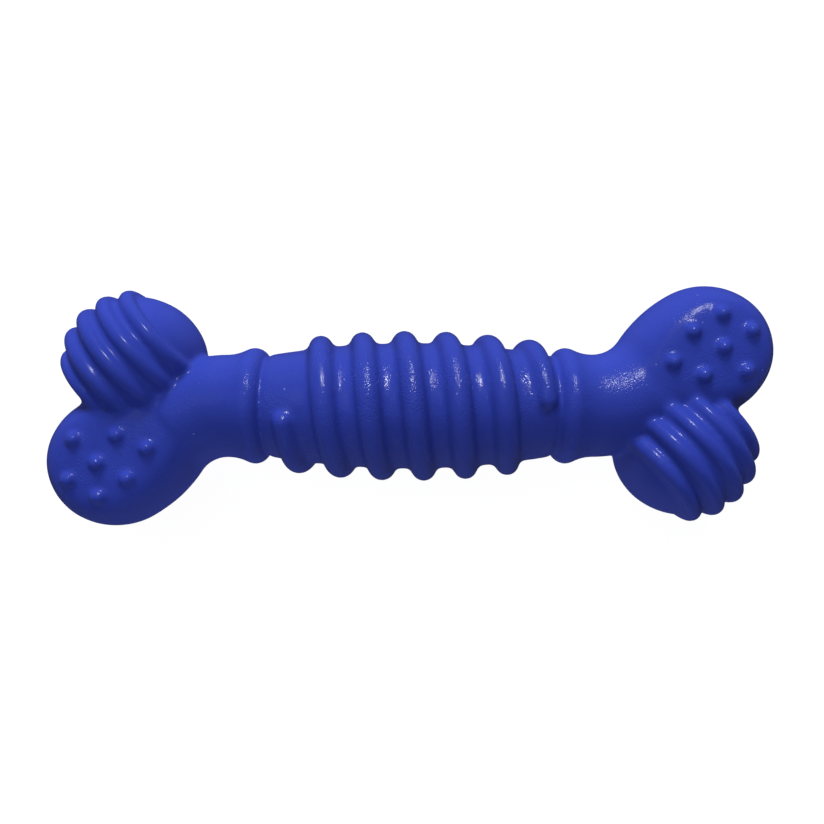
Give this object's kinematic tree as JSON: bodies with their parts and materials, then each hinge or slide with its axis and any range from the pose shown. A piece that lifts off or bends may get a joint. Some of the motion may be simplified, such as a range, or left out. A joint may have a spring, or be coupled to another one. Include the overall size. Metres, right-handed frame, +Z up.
{
  "type": "rubber chew toy",
  "caption": "Moulded rubber dog bone with a spiral-ridged barrel grip, collars and, at each end, a ribbed ball beside a flat studded lobe, for chewing and fetching.",
  "frame": {"origin": "on the table under the middle of the bone, which lies flat", "axes": "+X along the bone, +Y across it towards the left end's ribbed ball, +Z up"},
  "size_m": [0.15, 0.0502, 0.0311],
  "materials": {
    "blue_rubber": "semi-gloss moulded rubber"
  },
  "bodies": {
    "root": {"barrel_core": "blue_rubber", "spiral_ridge": "blue_rubber", "left_collar": "blue_rubber", "right_collar": "blue_rubber", "left_neck": "blue_rubber", "right_neck": "blue_rubber", "left_studded_lobe": "blue_rubber", "right_studded_lobe": "blue_rubber", "left_upper_studs": "blue_rubber", "right_upper_studs": "blue_rubber", "left_lower_studs": "blue_rubber", "right_lower_studs": "blue_rubber", "left_ribbed_ball": "blue_rubber", "right_ribbed_ball": "blue_rubber", "left_ball_ribs": "blue_rubber", "right_ball_ribs": "blue_rubber"}
  },
  "joints": []
}
